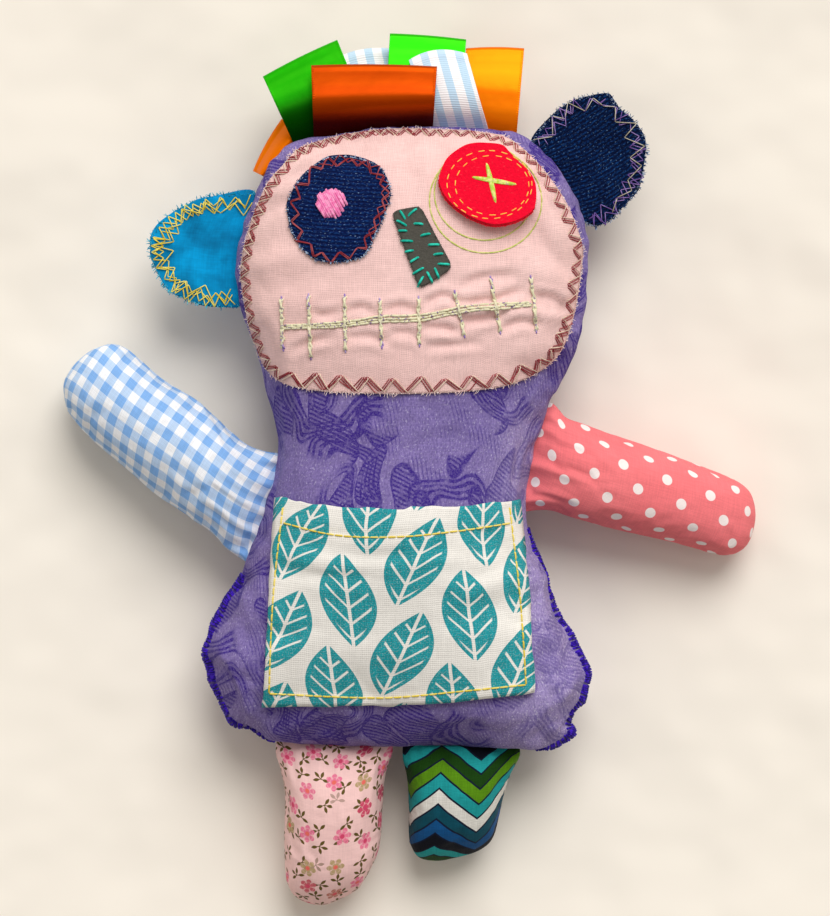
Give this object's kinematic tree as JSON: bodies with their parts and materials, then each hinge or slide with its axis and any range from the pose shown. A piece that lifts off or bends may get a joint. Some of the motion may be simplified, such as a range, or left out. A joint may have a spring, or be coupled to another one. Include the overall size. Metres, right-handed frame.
{
  "type": "rag doll",
  "caption": "Handmade rag doll lying on its back: stuffed body bag with sewn face and apron pocket, unlike arms, legs and ears, ribbon loops for hair",
  "frame": {"origin": "middle of the bounding box in plan, on the surface that the doll's back rests on", "axes": "+X across the doll towards its polka dot arm, +Y from the legs to the head, +Z out of the face"},
  "size_m": [0.2148, 0.2654, 0.063],
  "materials": {
    "purple_print_cotton": "printed cotton, matt",
    "fibre_filling": "loose polyester fibre",
    "pink_linen": "plain woven, frayed edge",
    "dark_red_thread": "stranded cotton",
    "dark_denim": "twill, frayed edge",
    "pink_floss": "satin stitch",
    "red_felt": "wool felt",
    "olive_floss": "stranded cotton",
    "charcoal_felt": "wool felt",
    "cream_floss": "stranded cotton",
    "teal_print_canvas": "printed cotton canvas",
    "yellow_thread": "polyester thread",
    "violet_thread": "stranded cotton",
    "blue_gingham": "woven check cotton",
    "coral_polka_dot": "printed cotton",
    "pale_pink_floral": "printed cotton",
    "teal_band_print": "printed cotton",
    "turquoise_cotton": "plain cotton, frayed edge",
    "lilac_thread": "stranded cotton",
    "orange_satin": "satin ribbon",
    "green_satin": "satin ribbon",
    "striped_grosgrain": "ribbed ribbon"
  },
  "bodies": {
    "torso": {"body_front_panel": "purple_print_cotton", "body_back_panel": "purple_print_cotton", "body_stuffing": "fibre_filling", "face_patch": "pink_linen", "face_edge_stitching": "dark_red_thread", "denim_eye_patch": "dark_denim", "denim_eye_edge_stitching": "dark_red_thread", "pupil_satin_stitching": "pink_floss", "nose_patch": "charcoal_felt", "mouth_embroidery": "cream_floss", "pocket": "teal_print_canvas", "pocket_topstitching": "yellow_thread", "left_side_whip_stitching": "violet_thread", "right_side_whip_stitching": "violet_thread", "green_left_loop": "green_satin", "striped_right_loop": "striped_grosgrain", "green_back_loop": "green_satin"},
    "felt_button": {"felt_button_eye": "red_felt", "felt_button_cross_stitch": "olive_floss"},
    "gingham_arm": {"gingham_arm_cover": "blue_gingham", "gingham_arm_stuffing": "fibre_filling"},
    "polka_dot_arm": {"polka_dot_arm_cover": "coral_polka_dot", "polka_dot_arm_stuffing": "fibre_filling"},
    "floral_leg": {"floral_leg_cover": "pale_pink_floral", "floral_leg_stuffing": "fibre_filling"},
    "print_leg": {"print_leg_cover": "teal_band_print", "print_leg_stuffing": "fibre_filling"},
    "turquoise_ear": {"turquoise_ear_front": "turquoise_cotton", "turquoise_ear_back": "turquoise_cotton", "turquoise_ear_stitching": "yellow_thread"},
    "denim_ear": {"denim_ear_front": "dark_denim", "denim_ear_back": "dark_denim", "denim_ear_stitching": "lilac_thread"},
    "orange_front_loop": {"orange_front_loop": "orange_satin"},
    "orange_left_loop": {"orange_left_loop": "orange_satin"},
    "orange_right_loop": {"orange_right_loop": "orange_satin"},
    "striped_back_loop": {"striped_back_loop": "striped_grosgrain"}
  },
  "joints": [
    {"name": "denim_ear_hinge", "type": "hinge", "parent": "torso", "child": "denim_ear", "pos_m": [0.04858, 0.0874, 0.024], "axis": [0.4976, -0.8674, 0], "range_deg": [-50, 50], "stiffness_Nm_per_rad": 0.001},
    {"name": "felt_button_tilt", "type": "hinge", "parent": "torso", "child": "felt_button", "pos_m": [0.02212, 0.08843, 0.04729], "axis": [0.9958, -0.0304, -0.086], "range_deg": [-5, 5], "stiffness_Nm_per_rad": 0.002},
    {"name": "floral_leg_hinge", "type": "hinge", "parent": "torso", "child": "floral_leg", "pos_m": [-0.0179, -0.08495, 0.024], "axis": [-0.9995, 0.0303, 0], "range_deg": [-38, 50], "stiffness_Nm_per_rad": 0.004},
    {"name": "gingham_arm_hinge", "type": "hinge", "parent": "torso", "child": "gingham_arm", "pos_m": [-0.0436, -0.01251, 0.024], "axis": [0.2569, 0.9664, 0], "range_deg": [-50, 50], "stiffness_Nm_per_rad": 0.004},
    {"name": "orange_front_loop_hinge", "type": "hinge", "parent": "torso", "child": "orange_front_loop", "pos_m": [-0.01402, 0.10232, 0.0279], "axis": [0.9994, 0.0349, 0], "range_deg": [0, 40], "stiffness_Nm_per_rad": 0.001},
    {"name": "orange_left_loop_hinge", "type": "hinge", "parent": "torso", "child": "orange_left_loop", "pos_m": [-0.03934, 0.09394, 0.02192], "axis": [0.5592, 0.829, 0], "range_deg": [-18, 0], "stiffness_Nm_per_rad": 0.001},
    {"name": "orange_right_loop_hinge", "type": "hinge", "parent": "torso", "child": "orange_right_loop", "pos_m": [0.02293, 0.10504, 0.0227], "axis": [0.9998, -0.0175, 0], "range_deg": [-40, 0], "stiffness_Nm_per_rad": 0.001},
    {"name": "polka_dot_arm_hinge", "type": "hinge", "parent": "torso", "child": "polka_dot_arm", "pos_m": [0.04119, 0.00559, 0.024], "axis": [-0.1817, -0.9834, 0], "range_deg": [-30, 50], "stiffness_Nm_per_rad": 0.004},
    {"name": "print_leg_hinge", "type": "hinge", "parent": "torso", "child": "print_leg", "pos_m": [0.02097, -0.08436, 0.024], "axis": [-1, -0.0029, 0], "range_deg": [-20, 50], "stiffness_Nm_per_rad": 0.004},
    {"name": "striped_back_loop_hinge", "type": "hinge", "parent": "torso", "child": "striped_back_loop", "pos_m": [-0.01395, 0.10124, 0.01984], "axis": [0.9336, 0.3584, 0], "range_deg": [-35, 0], "stiffness_Nm_per_rad": 0.001},
    {"name": "turquoise_ear_hinge", "type": "hinge", "parent": "torso", "child": "turquoise_ear", "pos_m": [-0.05163, 0.06637, 0.024], "axis": [0.0912, 0.9958, 0], "range_deg": [-40, 40], "stiffness_Nm_per_rad": 0.001}
  ]
}
